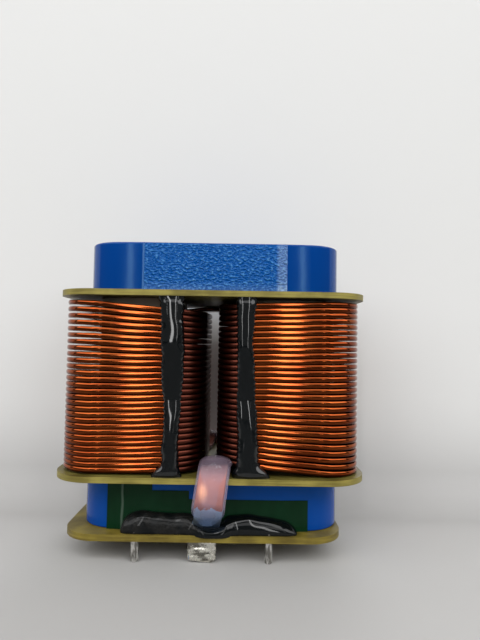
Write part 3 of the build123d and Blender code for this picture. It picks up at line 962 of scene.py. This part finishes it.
# no face joins the top of the backdrop to the floor behind it
first = np.delete(np.arange(len(sweep_y) - 1), -2) * 2
sweep_mesh = bpy.data.meshes.new("sweep")
sweep_mesh.from_pydata(
    np.stack([corner_x, corner_y, corner_z], axis=-1).reshape(-1, 3),
    [],
    np.stack([first, first + 1, first + 3, first + 2], axis=-1).tolist(),
)
sweep_mesh.shade_smooth()
sweep = bpy.data.objects.new("sweep", sweep_mesh)
bpy.context.scene.collection.objects.link(sweep)

# painted shade: the paper is darker low down and darker still towards the front
low_shade_grey = (0.30, 0.293, 0.288, 1)
backdrop_grey = (0.69, 0.69, 0.68, 1)
front_shade_grey = (0.10, 0.10, 0.10, 1)

pale_paper, shade = new_finish("pale_paper")
_, ahead_y, height = shade.place().parts()
upright = height.eased(0.5 * turn_radius, turn_radius)
grey = height.eased(-20 * mm, 38 * mm).blend(low_shade_grey, backdrop_grey)
grey = ahead_y.eased(-220 * mm, -55 * mm).blend(front_shade_grey, grey)
paper = shade.node("ShaderNodeBsdfDiffuse", {}, {"Color": grey})
clear = shade.node("ShaderNodeBsdfTransparent", {}, {})
behind = shade.node("ShaderNodeNewGeometry", {}, {}, "Backfacing")
shadow_ray = shade.node("ShaderNodeLightPath", {}, {}, "Is Shadow Ray")
let_through = behind.math("MAXIMUM", behind, shadow_ray * upright)
either = shade.node("ShaderNodeMixShader", {}, {0: let_through, 1: paper, 2: clear})
shade.node("ShaderNodeOutputMaterial", {}, {"Surface": either})
sweep_mesh.materials.append(pale_paper)

# An even sky, and lamps with flat faces. Two tall strips draw the long highlights down the beads
# of glue, and two short ones those on the ends of the yokes.
bpy.context.scene.view_settings.view_transform = "Standard"
world = bpy.data.worlds.new("sky")
world.use_nodes = True
sky = world.node_tree.nodes["Background"]
sky.inputs["Color"].default_value = (1.0, 1.0, 1.0, 1)
sky.inputs["Strength"].default_value = 0.18
bpy.context.scene.world = world


def facing(place, away, roll=0.0):
    """The matrix of a thing at a place whose back looks along away, rolled clockwise about its
    own axis."""
    back = np.array(away) / np.linalg.norm(away)
    side = np.cross((0, 0, 1), back)
    side /= np.linalg.norm(side)
    up = np.cross(back, side)
    rolled_side = side * math.cos(roll) + up * math.sin(roll)
    rolled_up = np.cross(back, rolled_side)
    matrix = np.eye(4)
    matrix[:3, 0] = rolled_side
    matrix[:3, 1] = rolled_up
    matrix[:3, 2] = back
    matrix[:3, 3] = place
    return Matrix(matrix.tolist())


lit_place = (0, 0, 0.04)


def soft_lamp(name, place, wide, high, strength):
    """A lamp with a flat face, turned from its place towards the part; strength is how bright its
    face is, so its power grows with the face's area."""
    lamp = bpy.data.lights.new(name, "AREA")
    lamp.shape = "RECTANGLE"
    lamp.size = wide
    lamp.size_y = high
    lamp.energy = strength * math.pi * wide * high
    piece = bpy.data.objects.new(name, lamp)
    piece.matrix_world = facing(place, np.array(place) - np.array(lit_place))
    bpy.context.scene.collection.objects.link(piece)


soft_lamp("left_strip", (-0.152, -0.67, 0.40), wide=0.036, high=0.90, strength=7.0)
soft_lamp("right_strip", (0.083, -0.67, 0.40), wide=0.036, high=0.90, strength=7.0)
soft_lamp("left_end_strip", (-0.252, -0.673, 0.174), wide=0.006, high=0.15, strength=8.0)
soft_lamp("right_end_strip", (0.194, -0.69, 0.174), wide=0.006, high=0.15, strength=8.0)
soft_lamp("top_lamp", (-0.05, -0.42, 0.66), wide=0.60, high=0.20, strength=3.2)
soft_lamp("front_lamp", (0.0, -0.72, 0.52), wide=0.90, high=0.28, strength=1.3)
soft_lamp("left_lamp", (-0.54, -0.38, 0.46), wide=0.80, high=0.50, strength=2.6)
soft_lamp("right_lamp", (0.54, -0.38, 0.46), wide=0.80, high=0.50, strength=2.6)
soft_lamp("rear_lamp", (0.15, 0.60, 0.45), wide=0.40, high=0.40, strength=4.5)

# ------------------------------------------------------------------ camera
# A camera close to the front, level with the upper part of the coils. It looks slightly upwards
# and leans about one degree. Its focal length and the view's height are in the same unit.
camera_place = (0.006417, -0.139379, 0.052341)
heading = math.radians(0.129)
rise = math.radians(2.628)
roll = math.radians(0.943)
view_height = 640
focal_length = 512.87
ahead = np.array(
    [math.sin(heading) * math.cos(rise), math.cos(heading) * math.cos(rise), math.sin(rise)]
)
lens = bpy.data.cameras.new("camera")
lens.sensor_fit = "VERTICAL"
lens.sensor_height = 24
lens.lens = lens.sensor_height * focal_length / view_height
lens.clip_start = 5 * mm
camera = bpy.data.objects.new("camera", lens)
camera.matrix_world = facing(camera_place, -ahead, roll)
bpy.context.scene.collection.objects.link(camera)
bpy.context.scene.camera = camera
